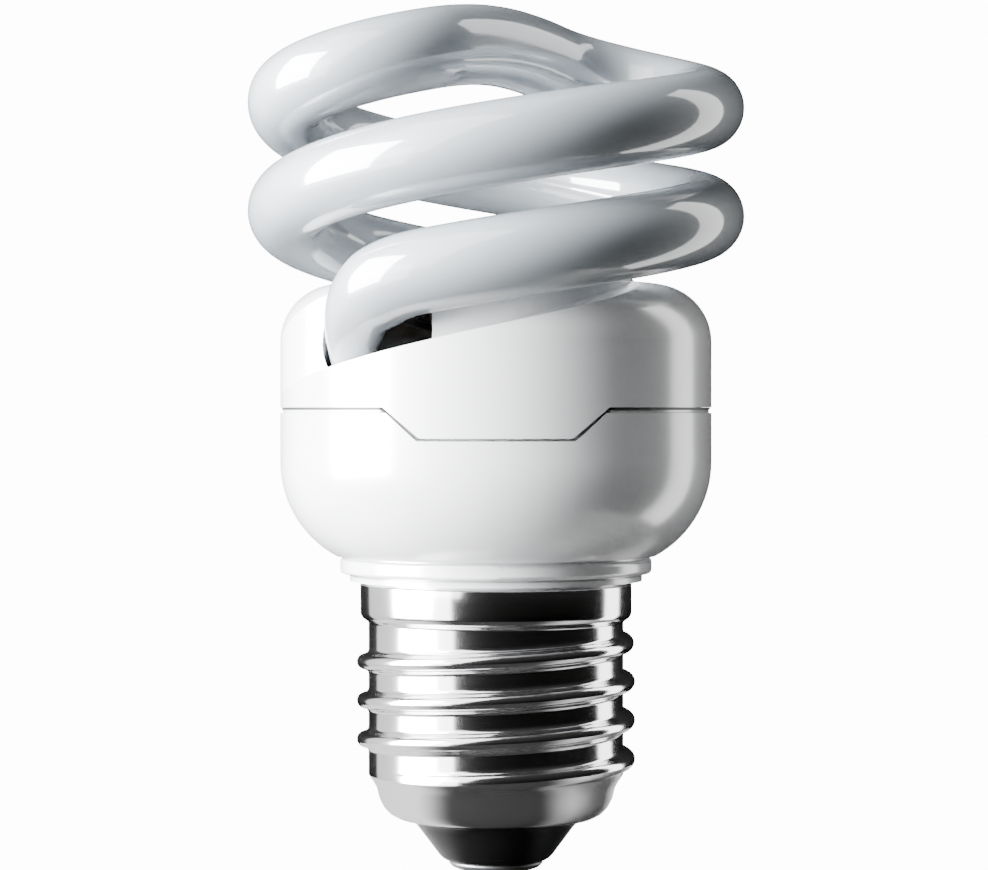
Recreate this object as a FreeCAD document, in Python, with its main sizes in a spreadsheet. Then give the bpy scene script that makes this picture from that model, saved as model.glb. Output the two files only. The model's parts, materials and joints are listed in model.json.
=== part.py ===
import FreeCAD, Part
import Sketcher

import math
import os
import re

# Spiral energy saving lamp with a screw cap, in millimetres, +Z up.
# The origin is the lowest point of the centre contact, on the lamp's axis.
# The lamp stands cap down, coil up, and the front of the housing faces -Y.
# Coil, cover and housing repeat after half a turn about the axis.

Vector = FreeCAD.Vector
UP = Vector(0, 0, 1)

SIZES = {
    # blown glass tube: a double coil joined over the top, above its two necked ends
    "TubeDiameter": 7.5,
    "CoilRadius": 19.5,
    "CoilPitch": 20.2,
    "CoilLift": 25.0,
    "CrownBendRadius": 8.0,
    "CrownStartAngle": 188.0,
    "CrownRise": 5.7,
    "CoilEndAngle": 251.0,
    "NeckReach": 7.4,
    "NeckDrop": 4.4,
    "NeckSideInset": 7.3,
    "NeckBackInset": 11.7,
    "NeckRise": 3.45,
    "NeckSlant": 0.5,
    "NeckedDiameter": 3.8,
    "TubeLegLength": 2.9,
    # upper cover with two ramps that rise under the coil
    "HousingRadius": 20.2,
    "CoverWall": 1.2,
    "ShoulderRadius": 5.4,
    "CoverHeight": 11.75,
    "RampFootRise": 1.25,
    "RampPitch": 27.4,
    "RampStartAngle": 188.0,
    "HubClearance": 0.75,
    "HubSweepAngle": 62.0,
    "SlotWidth": 5.3,
    "SlotClearance": 0.5,
    "CutReach": 4.0,
    "CutRise": 3.0,
    # seam between cover and lower housing, with a stepped tab front and back
    "SeamRise": 3.25,
    "SeamGap": 0.5,
    "TabHalfWidth": 7.0,
    "TabDrop": 2.75,
    "TabFlare": 3.3,
    "TongueDepth": 2.2,
    "TongueWall": 1.0,
    "FitClearance": 0.15,
    # lower housing: cup, collar, lip and the neck inside the screw shell
    "CupStraight": 4.85,
    "CupFootStep": 0.44123,
    "CupFloorRise": 0.75,
    "CupFloorLand": 0.85,
    "CupFloorBend": 8.5,
    "CupBendRise": 6.5,
    "CollarStep": 1.88,
    "CollarHeight": 1.45,
    "CollarRound": 0.35,
    "LipStep": 0.98,
    "LipHeight": 0.7,
    "GrooveDepth": 0.4,
    "GrooveHeight": 0.2,
    "NeckWall": 1.35,
    "NeckStart": 4.4,
    "NeckTopSetback": 1.0,
    "NeckTopRise": 0.6,
    # screw shell, rolled from thin sheet
    "ThreadRootRadius": 11.95,
    "ThreadDepth": 1.1,
    "ThreadPitch": 3.629,
    "ThreadTurns": 3.9,
    "ThreadEndGap": 0.7469,
    "RidgeWidth": 2.5,
    "ShellWall": 0.3,
    "CurlRadius": 4.0,
    "CurlRise": 2.85,
    "CurlStep": 0.75,
    "CurlRunout": 0.85,
    "RootRunout": 0.4,
    "MouthStep": 2.6,
    "SkirtStep": 0.77,
    "SkirtLength": 3.3,
    # glass insulator and centre contact
    "InsulatorConeHeight": 4.0,
    "InsulatorTipRound": 0.6,
    "InsulatorTipInset": 0.5,
    "InsulatorTipFlare": 0.05,
    "InsulatorTipHeight": 0.35,
    "InsulatorRimDepth": 0.1,
    "InsulatorRimWidth": 0.6,
    "InsulatorSeat": 0.05,
    "InsulatorCurlGap": 0.4,
    "InsulatorWaistDrop": 0.9,
    "InsulatorLip": 0.45,
    "ContactRim": 0.5,
    "ContactRadius": 4.4,
    "ContactFlatRadius": 2.6,
    "ContactDome": 0.35,
    "ContactChamfer": 0.2,
    "ContactThickness": 0.9,
    "ContactStubRadius": 1.0,
    "ContactStubLength": 1.6,
    "StubClearance": 0.2,
    # circuit board, above the floor of the cup by the height of the choke
    "ChokeFloorGap": 1.6,
    "BoardThickness": 1.2,
    "LedgeWidth": 1.4,
    "LeadRadius": 0.3,
    "CanDiameter": 10.0,
    "CanLength": 18.0,
    "CanStandoff": 1.2,
    "CanClearance": 0.95,
    "ChokeWidth": 11.0,
    "ChokeDepth": 4.6,
    "ChokeHeight": 7.8,
    "ChokeYoke": 1.3,
    "ChokeLeg": 1.4,
    "ChokeCentreLeg": 3.0,
    "ChokeCanGap": 0.8,
    "ChokeStandoff": 0.4,
    "ChokeLeadInset": 1.3,
    "BobbinWall": 0.4,
    "BobbinFlange": 0.5,
    "BobbinFlangeRim": 0.3,
    "WindingDepth": 8.8,
    "WindingInset": 0.2,
    "RingOuterRadius": 3.9,
    "RingInnerRadius": 2.2,
    "RingHeight": 3.4,
    "RingStandoff": 1.4,
    "RingSide": -1.5,
    "RingInset": 9.0,
    "RingCoilWidth": 2.0,
    "RingCoilThickness": 0.35,
    "TransistorRadius": 2.3,
    "TransistorHeight": 4.6,
    "TransistorFlat": 1.2,
    "TransistorStandoff": 1.6,
    "TransistorSpacing": 5.6,
    "TransistorSide": 5.0,
    "TransistorInset": 10.4,
    "TransistorTurn": -20.0,
    "TransistorLeadPitch": 1.27,
    "TransistorLeadSetback": 0.4,
    "ResonanceWidth": 8.0,
    "ResonanceDepth": 3.6,
    "ResonanceHeight": 6.4,
    "ResonanceSide": 2.2,
    "ResonanceInset": 11.0,
    "CouplingWidth": 6.0,
    "CouplingDepth": 3.2,
    "CouplingHeight": 5.6,
    "CouplingSide": -6.8,
    "CouplingInset": 10.8,
    "FilmStandoff": 0.8,
    "DiodeRadius": 1.35,
    "DiodeLength": 5.2,
    "PartSpacing": 3.2,
    "ResistorRadius": 1.1,
    "ResistorLength": 5.6,
    "ResistorInset": 10.2,
    "DiacRadius": 0.95,
    "DiacLength": 3.8,
    "DiacInset": 10.7,
    "LeadReach": 1.3,
    "TopSideGap": 0.3,
    # fusible resistor and the wires to the cap
    "FuseRadius": 1.5,
    "FuseLength": 9.0,
    "FuseRise": 3.0,
    "FuseSideInset": 4.75,
    "FuseBackInset": 3.85,
    "WireRadius": 0.35,
    "WireGap": 0.05,
    "LiveStraight": 6.0,
    "LiveTail": 2.5,
    "NeutralSideInset": 3.25,
    "NeutralFrontInset": 4.25,
    "NeutralDrop": 2.0,
    "NeutralFall": 1.0,
    # filament wires, their posts and the cement round the tube's ends
    "TubeLeadRadius": 0.2,
    "TubeLeadDrop": 1.5,
    "PinWidth": 0.7,
    "PinHeight": 3.2,
    "PinWrapGap": 0.175,
    "FrontPinSideInset": 10.8,
    "FrontPinInset": 8.6,
    "SidePinInset": 5.4,
    "SidePinFront": 3.0,
    "CementRadius": 3.6,
    "CementDrop": 2.2,
    "CementHeight": 1.6,
    "CementInset": 5.0,
    "PlayBetweenParts": 0.3,
}

# Heights and radii that follow from the sizes above, from the contact upwards
STACK = {
    "ShellBottom": "ContactThickness + InsulatorConeHeight",
    "CurlTop": "ShellBottom + CurlRise",
    "InsulatorTopHeight": "CurlTop + InsulatorLip",
    "ThreadStart": "CurlTop + CurlRunout",
    "NeckBottom": "ThreadStart + NeckStart",
    "SkirtBottom": "ThreadStart + ThreadPitch * ThreadTurns + ThreadEndGap",
    "SkirtTop": "SkirtBottom + SkirtLength",
    "LipBottom": "SkirtTop + PlayBetweenParts",
    "CollarBottom": "LipBottom + LipHeight",
    "CollarTop": "CollarBottom + CollarHeight",
    "CupFloorHeight": "CollarTop + CupFloorRise",
    "BoardHeight": "CupFloorHeight + ChokeFloorGap + ChokeHeight + ChokeStandoff",
    "SeamHeight": "BoardHeight + SeamRise",
    "CupBendHeight": "SeamHeight - CupStraight",
    "RampLowHeight": "SeamHeight + RampFootRise",
    "DeckHeight": "SeamHeight + CoverHeight",
    "NeckHeight": "SeamHeight + NeckRise",
    "TopLobeHeight": "NeckHeight + CoilLift",
    "ThreadCrestRadius": "ThreadRootRadius + ThreadDepth",
    "CurlTopRadius": "ThreadRootRadius - CurlStep",
    "ShellMouthRadius": "CurlTopRadius - MouthStep",
    "SkirtRadius": "ThreadRootRadius + SkirtStep",
    "CollarRadius": "SkirtRadius + CollarStep",
    "LipRadius": "SkirtRadius + LipStep",
    "NeckBore": "ThreadRootRadius - ShellWall - FitClearance - NeckWall",
    "InsulatorTipRadius": "ContactRadius + ContactRim",
    "InsulatorHole": "ContactStubRadius + StubClearance",
    "HubRadius": "CoilRadius - TubeDiameter / 2 - HubClearance",
    "TongueRadius": "HousingRadius - CoverWall - FitClearance",
    "NeckSide": "HousingRadius - NeckSideInset",
    "NeckBack": "HousingRadius - NeckBackInset",
    "CupFootRadius": "CollarRadius + CupFootStep",
    "CupFootDrop": "CupBendHeight - CollarTop - GrooveHeight",
    "CupOverhang": "HousingRadius - CupFootRadius",
    "CupBend": "CupOverhang / 2 + CupFootDrop ^ 2 / (2 * CupOverhang)",
    "CanOffset": "NeckBore - CanDiameter / 2 - CanClearance",
    "ChokeOffset": "CanDiameter / 2 - CanOffset + ChokeCanGap + ChokeWidth / 2",
    "CementBottom": "NeckHeight - CementDrop",
}

doc = FreeCAD.newDocument("spiral_lamp")
sheet = doc.addObject("Spreadsheet::Sheet", "sizes")
for row, (alias, number) in enumerate(SIZES.items(), start=1):
    sheet.set(f"A{row}", alias)
    sheet.set(f"B{row}", str(number))
    sheet.setAlias(f"B{row}", alias)
for row, (alias, rule) in enumerate(STACK.items(), start=len(SIZES) + 1):
    sheet.set(f"A{row}", alias)
    sheet.set(f"B{row}", "=" + rule)
    sheet.setAlias(f"B{row}", alias)
doc.recompute()

pieces = []


def formula(text):
    """The text with each size name pointed at its cell in the sheet."""
    return re.sub(r"\b([A-Z][A-Za-z]+)\b", r"sizes.\1", str(text))


def size(text):
    """The number that a formula of size names gives."""
    return float(sheet.evalExpression(formula(text)))


def bind(thing, prop, text):
    """Ties a property of an object to a formula of size names."""
    thing.setExpression(prop, formula(text))


def place(thing, across, depth, height):
    """Ties an object's position to three formulas."""
    bind(thing, "Placement.Base.x", across)
    bind(thing, "Placement.Base.y", depth)
    bind(thing, "Placement.Base.z", height)


def piece(thing, label):
    """Registers an object as a sub-part under its own name."""
    thing.Label = label
    pieces.append(thing)
    return thing


def shaped(name, shape):
    """A document object that holds a computed shape."""
    thing = doc.addObject("Part::Feature", name)
    thing.Shape = shape
    return thing


# Outlines drawn in a body's sketch

def new_sketch(body, role, name):
    plane = [item for item in body.Origin.OriginFeatures if item.Role == role][0]
    sketch = body.newObject("Sketcher::SketchObject", name)
    sketch.AttachmentSupport = [(plane, "")]
    sketch.MapMode = "FlatFace"
    return sketch


def arc_between(start, end, radius):
    """The counter-clockwise arc from start to end, less than half a circle."""
    chord = end - start
    drop = math.sqrt(max(radius * radius - chord.Length * chord.Length / 4, 0))
    centre = (start + end) / 2 + Vector(-chord.y, chord.x, 0).normalize() * drop
    first = math.atan2(start.y - centre.y, start.x - centre.x)
    last = math.atan2(end.y - centre.y, end.x - centre.x)
    if last < first:
        last += 2 * math.pi
    return Part.ArcOfCircle(Part.Circle(centre, Vector(0, 0, 1), radius), first, last)


def fix_point(sketch, index, which, corner):
    """Holds the start (1) or the end (2) of a line or arc at its corner's two formulas."""
    for kind, axis, text in (("DistanceX", -2, corner[0]), ("DistanceY", -1, corner[1])):
        number = size(text)
        if abs(number) < 1e-9:
            sketch.addConstraint(Sketcher.Constraint("PointOnObject", index, which, axis))
        elif number > 0:
            made = sketch.addConstraint(Sketcher.Constraint(kind, -1, 1, index, which, number))
            bind(sketch, f"Constraints[{made}]", text)
        else:
            made = sketch.addConstraint(Sketcher.Constraint(kind, index, which, -1, 1, -number))
            bind(sketch, f"Constraints[{made}]", f"-({text})")


def draw_outline(sketch, corners):
    """Closed outline. A corner is (across, up), or (across, up, radius, side) before an arc.

    The side is 1 for an arc that turns counter-clockwise on its way to the next corner, and -1
    for one that turns clockwise, which is drawn from its end back to its start.
    """
    points = [Vector(size(corner[0]), size(corner[1]), 0) for corner in corners]
    following = points[1:] + points[:1]
    heads = []
    for corner, start, end in zip(corners, points, following):
        backwards = len(corner) == 4 and corner[3] < 0
        heads.append(2 if backwards else 1)
        if backwards:
            sketch.addGeometry(arc_between(end, start, size(corner[2])), False)
        elif len(corner) == 4:
            sketch.addGeometry(arc_between(start, end, size(corner[2])), False)
        else:
            sketch.addGeometry(Part.LineSegment(start, end), False)
    for index, corner in enumerate(corners):
        after = (index + 1) % len(corners)
        sketch.addConstraint(Sketcher.Constraint("Coincident", index, 3 - heads[index], after, heads[after]))
    for index, corner in enumerate(corners):
        fix_point(sketch, index, heads[index], corner)
        if len(corner) == 4:
            made = sketch.addConstraint(Sketcher.Constraint("Radius", index, size(corner[2])))
            bind(sketch, f"Constraints[{made}]", corner[2])


def turned_body(name, corners):
    """A body turned about the lamp's axis from half its section."""
    body = doc.addObject("PartDesign::Body", name)
    sketch = new_sketch(body, "XZ_Plane", name + "_section")
    draw_outline(sketch, corners)
    turned = body.newObject("PartDesign::Revolution", name + "_turned")
    turned.Profile = sketch
    turned.ReferenceAxis = (sketch, ["V_Axis"])
    turned.Angle = 360
    doc.recompute()
    return body


# Solids skinned over a row of sections

SECTIONS_PER_SPAN = 6
SKIN_DEGREE = 3


def skin_faces(wires):
    """The faces of a skin through the sections, in short spans that share their end sections."""
    faces = []
    first = 0
    while first < len(wires) - 1:
        last = min(first + SECTIONS_PER_SPAN, len(wires) - 1)
        faces += Part.makeLoft(wires[first:last + 1], False, False, False, SKIN_DEGREE).Faces
        first = last
    return faces


def sewn_solid(faces):
    """The solid that the faces enclose, with its skin facing outwards."""
    skin = Part.makeCompound(faces)
    skin.sewShape()
    solid = Part.Solid(skin.Shells[0])
    if solid.Volume < 0:
        solid.reverse()
    return solid


def skinned_solid(wires):
    """A closed solid through the sections."""
    return sewn_solid(skin_faces(wires) + [Part.Face(wires[0]), Part.Face(wires[-1])])


def ring_section(centre, direction, radius):
    """A round section across a path, with its seam on the upper side."""
    across = (UP - direction * UP.dot(direction)).normalize()
    turn = FreeCAD.Rotation(across, direction.cross(across), direction, "XYZ")
    edge = Part.makeCircle(radius)
    edge.Placement = FreeCAD.Placement(centre, turn)
    return Part.Wire([edge])


def half_turned(shape):
    """A copy of the shape turned half a turn about the lamp's axis."""
    copy = shape.copy()
    copy.rotate(Vector(0, 0, 0), UP, 180)
    return copy


# Centreline of one strand of the tube, from its necked end up to the crown on the axis

def coil_climb():
    """Rise of the coil for each millimetre along its circle."""
    return size("CoilPitch / (2 * pi * CoilRadius)")


def coil_point(angle):
    """The strand that passes the left side at the top lobe, at an angle in degrees."""
    turn = math.radians(angle)
    radius = size("CoilRadius")
    height = size("TopLobeHeight") + size("CoilPitch") * (angle - 180) / 360
    return Vector(radius * math.cos(turn), radius * math.sin(turn), height)


def coil_direction(angle):
    turn = math.radians(angle)
    return Vector(-math.sin(turn), math.cos(turn), coil_climb()).normalize()


class Crown:
    """The bend from the coil to the axis: an arc, then a straight run through the axis."""

    def __init__(self):
        self.radius = size("CoilRadius")
        self.bend = size("CrownBendRadius")
        self.start_angle = math.radians(size("CrownStartAngle"))
        self.offset = self.radius - self.bend
        self.turn = math.pi - math.acos(self.bend / self.offset)
        self.on_coil = self.radius * (self.start_angle - math.pi)
        self.on_bend = self.bend * self.turn
        self.on_run = math.sqrt(self.offset ** 2 - self.bend ** 2)
        self.length = self.on_coil + self.on_bend + self.on_run
        self.centre = Vector(math.cos(self.start_angle), math.sin(self.start_angle), 0) * self.offset

    def height(self, travel):
        """Climbs on from the side lobe and is level where it crosses the axis."""
        share = travel / self.length
        low = size("TopLobeHeight")
        high = low + size("CrownRise")
        blend = share * share * (3 - 2 * share)
        climb = self.length * coil_climb() * share * (1 - share) ** 2
        return low + (high - low) * blend + climb

    def point(self, travel):
        if travel > self.length:
            other = self.point(2 * self.length - travel)
            return Vector(-other.x, -other.y, other.z)
        if travel <= self.on_coil:
            angle = math.pi + travel / self.radius
            flat = Vector(math.cos(angle), math.sin(angle), 0) * self.radius
        else:
            angle = self.start_angle + min((travel - self.on_coil) / self.bend, self.turn)
            flat = self.centre + Vector(math.cos(angle), math.sin(angle), 0) * self.bend
            if travel > self.on_coil + self.on_bend:
                flat = flat * ((self.length - travel) / self.on_run)
        return Vector(flat.x, flat.y, self.height(travel))

    def direction(self, travel):
        step = 0.001
        return (self.point(travel + step) - self.point(travel - step)).normalize()


def neck_sections(extra_radius):
    """Sections of the necked end: a bend that tapers as it turns down into the cover."""
    end_angle = size("CoilEndAngle") - 360
    start = coil_point(end_angle)
    start_direction = coil_direction(end_angle) * -1
    tip = Vector(-size("NeckSide"), -size("NeckBack"), size("NeckHeight"))
    tip_direction = Vector(0, size("NeckSlant"), -1).normalize()
    handles = [start, start + start_direction * size("NeckReach"),
               tip - tip_direction * size("NeckDrop"), tip]
    wide = size("TubeDiameter / 2")
    narrow = size("NeckedDiameter / 2")
    taper_start = 0.26
    steps = 12
    wires = [ring_section(tip + tip_direction * size("TubeLegLength"), tip_direction, narrow + extra_radius)]
    for index in range(steps):
        share = 1 - index / steps
        rest = 1 - share
        weights = [rest ** 3, 3 * rest * rest * share, 3 * rest * share * share, share ** 3]
        slopes = [-rest * rest, rest * (rest - 2 * share), share * (2 * rest - share), share * share]
        centre = sum((handle * weight for handle, weight in zip(handles, weights)), Vector(0, 0, 0))
        forward = sum((handle * slope for handle, slope in zip(handles, slopes)), Vector(0, 0, 0)).normalize()
        radius = wide + (narrow - wide) * max(share - taper_start, 0) / (1 - taper_start)
        wires.append(ring_section(centre, forward, radius + extra_radius))
    return wires


def make_discharge_tube():
    """One blown tube: end, coil, crown, coil, end, the second half the first one turned."""
    radius = size("TubeDiameter / 2")
    crown = Crown()
    first_angle = size("CoilEndAngle") - 360
    coil_step = 15
    coil_count = round((180 - first_angle) / coil_step)
    crown_count = 12
    end = skin_faces(neck_sections(0) + [ring_section(coil_point(first_angle),
                             coil_direction(first_angle) * -1, radius)])
    coil = [ring_section(coil_point(first_angle + (180 - first_angle) * index / coil_count),
                         coil_direction(first_angle + (180 - first_angle) * index / coil_count), radius)
            for index in range(coil_count + 1)]
    top = [ring_section(crown.point(crown.length * index / crown_count),
                        crown.direction(crown.length * index / crown_count), radius)
           for index in range(2 * crown_count + 1)]
    coil_skin = skin_faces(coil)
    other = [half_turned(face) for face in end + coil_skin]
    tip = Part.Face(neck_sections(0)[0])
    solid = sewn_solid(end + coil_skin + skin_faces(top) + other + [tip, half_turned(tip)])
    return piece(shaped("discharge_tube_glass", solid), "discharge_tube")


# Upper cover

def ramp_height(angle):
    return size("RampLowHeight") + size("RampPitch") * (angle - size("RampStartAngle")) / 360


def hub_radius(angle):
    """The wall behind the ramp leaves the outer wall at the ramp's foot and winds in to the hub."""
    share = min((angle - size("RampStartAngle")) / size("HubSweepAngle"), 1)
    ease = (1 - math.cos(math.pi * share)) / 2
    return size("HousingRadius") + (size("HubRadius") - size("HousingRadius")) * ease


def ramp_region(inset, outer, top, overrun):
    """The space over the ramp and outside the hub, grown inwards and downwards by the inset."""
    first = size("RampStartAngle")
    last = first + (size("DeckHeight") - size("RampLowHeight")) / size("RampPitch") * 360 + overrun
    count = 18
    wires = []
    for index in range(count + 1):
        angle = first + (last - first) * index / count
        turn = math.radians(angle)
        outward = Vector(math.cos(turn), math.sin(turn), 0)
        inner = hub_radius(angle) - inset
        low = ramp_height(angle) - inset
        corners = [outward * inner + UP * low, outward * outer + UP * low,
                   outward * outer + UP * top, outward * inner + UP * top]
        wires.append(Part.makePolygon(corners + corners[:1]))
    return skinned_solid(wires)


def make_upper_cover():
    shell = turned_body("cover_shell", [
        ("0", "DeckHeight - CoverWall"),
        ("HousingRadius - ShoulderRadius", "DeckHeight - CoverWall", "ShoulderRadius - CoverWall", -1),
        ("HousingRadius - CoverWall", "DeckHeight - ShoulderRadius"),
        ("HousingRadius - CoverWall", "SeamHeight + TongueDepth"),
        ("TongueRadius - TongueWall", "SeamHeight + TongueDepth - TongueWall"),
        ("TongueRadius - TongueWall", "BoardHeight + BoardThickness + FitClearance"),
        ("TongueRadius", "BoardHeight + BoardThickness + FitClearance"),
        ("TongueRadius", "SeamHeight + SeamGap / 2"),
        ("HousingRadius", "SeamHeight + SeamGap / 2"),
        ("HousingRadius", "DeckHeight - ShoulderRadius", "ShoulderRadius", 1),
        ("HousingRadius - ShoulderRadius", "DeckHeight"),
        ("0", "DeckHeight"),
    ])
    block = turned_body("cover_block", [
        ("0", "SeamHeight"),
        ("HousingRadius - CoverWall / 2", "SeamHeight"),
        ("HousingRadius - CoverWall / 2", "SeamHeight + SeamGap / 2"),
        ("HousingRadius", "SeamHeight + SeamGap / 2"),
        ("HousingRadius", "DeckHeight - ShoulderRadius", "ShoulderRadius", 1),
        ("HousingRadius - ShoulderRadius", "DeckHeight"),
        ("0", "DeckHeight"),
    ])
    reach = size("HousingRadius + CutReach")
    ceiling = size("DeckHeight + CutRise")
    floor = ramp_region(size("CoverWall"), reach, ceiling, 2).common(block.Shape)
    space = ramp_region(0, reach, ceiling, 4)
    hole = skinned_solid(neck_sections(size("SlotClearance")))
    slot_left = size("NeckSide - NeckedDiameter / 2")
    slot_low = size("RampLowHeight + CoverWall")
    slot = Part.makeBox(size("SlotWidth"), size("HousingRadius - NeckBack"),
                        size("DeckHeight - CoverWall") - slot_low,
                        Vector(-slot_left, -size("HousingRadius - CoverWall"), slot_low))
    slot = slot.cut(ramp_keep_wall())
    cover = shell.Shape.copy()
    for turned in (False, True):
        cover = cover.fuse(half_turned(floor) if turned else floor)
    for cutter in (space, hole, slot):
        cover = cover.cut(cutter).cut(half_turned(cutter))
    cover = cover.fuse([tab_block(1), tab_block(-1)]).removeSplitter()
    return piece(shaped("upper_cover_moulding", cover), "upper_cover")


def ramp_keep_wall():
    """The outer wall under the ramp's edge, which the slot doesn't cut."""
    tall = size("DeckHeight - SeamHeight")
    outer = Part.makeCylinder(size("HousingRadius + CoverWall"), tall, Vector(0, 0, size("SeamHeight")))
    inner = Part.makeCylinder(size("HousingRadius - CoverWall"), tall, Vector(0, 0, size("SeamHeight")))
    return outer.cut(inner)


def tab_prism(side, gap):
    """The stepped tab's outline, pushed through the wall at the front or the back."""
    top = size("SeamHeight + SeamGap / 2")
    low = size("SeamHeight - TabDrop") + gap
    wide = size("TabHalfWidth + TabFlare") - gap
    narrow = size("TabHalfWidth") - gap
    reach = size("HousingRadius + CoverWall") * side
    corners = [Vector(-wide, reach, top), Vector(-narrow, reach, low), Vector(narrow, reach, low),
               Vector(wide, reach, top)]
    outline = Part.makePolygon(corners + corners[:1])
    return Part.Face(outline).extrude(Vector(0, -size("HousingRadius - TabHalfWidth") * side, 0))


def tab_block(side):
    """The part of the cover's wall that steps down into the lower housing."""
    tall = size("TabDrop + SeamGap")
    base = size("SeamHeight - TabDrop")
    outer = Part.makeCylinder(size("HousingRadius"), tall, Vector(0, 0, base))
    inner = Part.makeCylinder(size("HousingRadius - CoverWall + FitClearance"), tall, Vector(0, 0, base))
    return tab_prism(side, size("SeamGap / 2")).common(outer.cut(inner))


# Lower housing

def make_lower_housing():
    cup = turned_body("cup", [
        ("NeckBore", "NeckBottom"),
        ("ThreadRootRadius - ShellWall - FitClearance", "NeckBottom"),
        ("ThreadRootRadius - ShellWall - FitClearance", "SkirtBottom + NeckTopSetback"),
        ("SkirtRadius - ShellWall - FitClearance", "SkirtBottom + NeckTopSetback + NeckTopRise"),
        ("SkirtRadius - ShellWall - FitClearance", "LipBottom"),
        ("LipRadius", "LipBottom"),
        ("LipRadius", "CollarBottom - GrooveHeight"),
        ("LipRadius - GrooveDepth", "CollarBottom - GrooveHeight"),
        ("LipRadius - GrooveDepth", "CollarBottom"),
        ("CollarRadius - CollarRound", "CollarBottom", "CollarRound", 1),
        ("CollarRadius", "CollarBottom + CollarRound"),
        ("CollarRadius", "CollarTop - CollarRound", "CollarRound", 1),
        ("CollarRadius - CollarRound", "CollarTop"),
        ("CollarRadius - CollarRound", "CollarTop + GrooveHeight"),
        ("CupFootRadius", "CollarTop + GrooveHeight", "CupBend", 1),
        ("HousingRadius", "CupBendHeight"),
        ("HousingRadius", "SeamHeight - SeamGap / 2"),
        ("HousingRadius - CoverWall", "SeamHeight - SeamGap / 2"),
        ("HousingRadius - CoverWall", "BoardHeight"),
        ("HousingRadius - CoverWall - LedgeWidth", "BoardHeight"),
        ("HousingRadius - CoverWall - LedgeWidth", "CupFloorHeight + CupBendRise", "CupFloorBend", -1),
        ("NeckBore + CupFloorLand", "CupFloorHeight"),
        ("NeckBore", "CupFloorHeight"),
    ])
    notch = shaped("tab_notches", tab_prism(1, 0).fuse(tab_prism(-1, 0)))
    base = Vector(0, 0, size("SeamHeight - TabDrop"))
    outer = Part.makeCylinder(size("HousingRadius + CoverWall"), size("TabDrop"), base)
    inner = Part.makeCylinder(size("HousingRadius - CoverWall"), size("TabDrop"), base)
    notch.Shape = notch.Shape.common(outer.cut(inner))
    cut = doc.addObject("Part::Cut", "cup_with_notches")
    cut.Base = cup
    cut.Tool = notch
    return piece(cut, "lower_housing")


# Screw cap

RIDGE_SHAPE = ((0, 1), (0.5, 0.8), (0.9, 0.42), (1, 0), (0.9, -0.42), (0.5, -0.8), (0, -1))


def ridge_section(angle, crest, root, width, start, scale):
    """One section of the rolled thread's rounded ridge, in the plane through the axis."""
    turn = math.radians(angle)
    outward = Vector(math.cos(turn), math.sin(turn), 0)
    height = start + size("ThreadPitch") * (angle - 180) / 360
    foot = root - size("ShellWall / 2")
    rise = (crest - foot) * scale
    half = width / 2 * (0.4 + 0.6 * scale)
    corners = [outward * (foot + rise * out) + UP * (height + half * up) for out, up in RIDGE_SHAPE]
    return Part.makePolygon(corners + corners[:1])


def thread_ridge(inset):
    """The rounded ridge wound up the shell, fading in and out over half a turn."""
    turns = size("ThreadTurns")
    per_turn = 12
    count = round(turns * per_turn)
    fade = per_turn / 2
    wires = []
    for index in range(count + 1):
        scale = min(1, 0.3 + 0.7 * min(index, count - index) / fade)
        wires.append(ridge_section(180 + 360 * turns * index / count, size("ThreadCrestRadius") - inset,
                                   size("ThreadRootRadius") - inset, size("RidgeWidth") - inset,
                                   size("ThreadStart"), scale))
    return skinned_solid(wires)


def make_screw_shell():
    sheet_body = turned_body("shell_sheet", [
        ("ShellMouthRadius", "ShellBottom", "CurlRadius", 1),
        ("CurlTopRadius", "CurlTop"),
        ("ThreadRootRadius", "ThreadStart + RootRunout"),
        ("ThreadRootRadius", "SkirtBottom - ShellWall"),
        ("SkirtRadius", "SkirtBottom + ShellWall"),
        ("SkirtRadius", "SkirtTop"),
        ("SkirtRadius - ShellWall", "SkirtTop"),
        ("SkirtRadius - ShellWall", "SkirtBottom + 2 * ShellWall"),
        ("ThreadRootRadius - ShellWall", "SkirtBottom"),
        ("ThreadRootRadius - ShellWall", "ThreadStart + RootRunout"),
        ("CurlTopRadius - ShellWall", "CurlTop", "CurlRadius - ShellWall", -1),
        ("ShellMouthRadius", "ShellBottom + ShellWall"),
    ])
    threaded = sheet_body.Shape.fuse(thread_ridge(0)).cut(thread_ridge(size("ShellWall")))
    return piece(shaped("screw_shell_sheet", threaded), "screw_shell")


def make_cap_insulator():
    body = turned_body("insulator", [
        ("InsulatorHole", "ContactThickness"),
        ("InsulatorTipRadius - InsulatorTipInset", "ContactThickness", "InsulatorTipRound", 1),
        ("InsulatorTipRadius + InsulatorTipFlare", "ContactThickness + InsulatorTipHeight"),
        ("ShellMouthRadius - InsulatorRimWidth", "ShellBottom - InsulatorRimDepth"),
        ("ShellMouthRadius - InsulatorSeat", "ShellBottom - InsulatorRimDepth"),
        ("ShellMouthRadius - InsulatorSeat", "ShellBottom + ShellWall + InsulatorCurlGap"),
        ("CurlTopRadius - ShellWall - InsulatorCurlGap", "CurlTop - InsulatorWaistDrop"),
        ("CurlTopRadius - ShellWall - FitClearance", "CurlTop"),
        ("CurlTopRadius - ShellWall - FitClearance", "InsulatorTopHeight"),
        ("InsulatorHole", "InsulatorTopHeight"),
    ])
    return piece(body, "cap_insulator")


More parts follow.
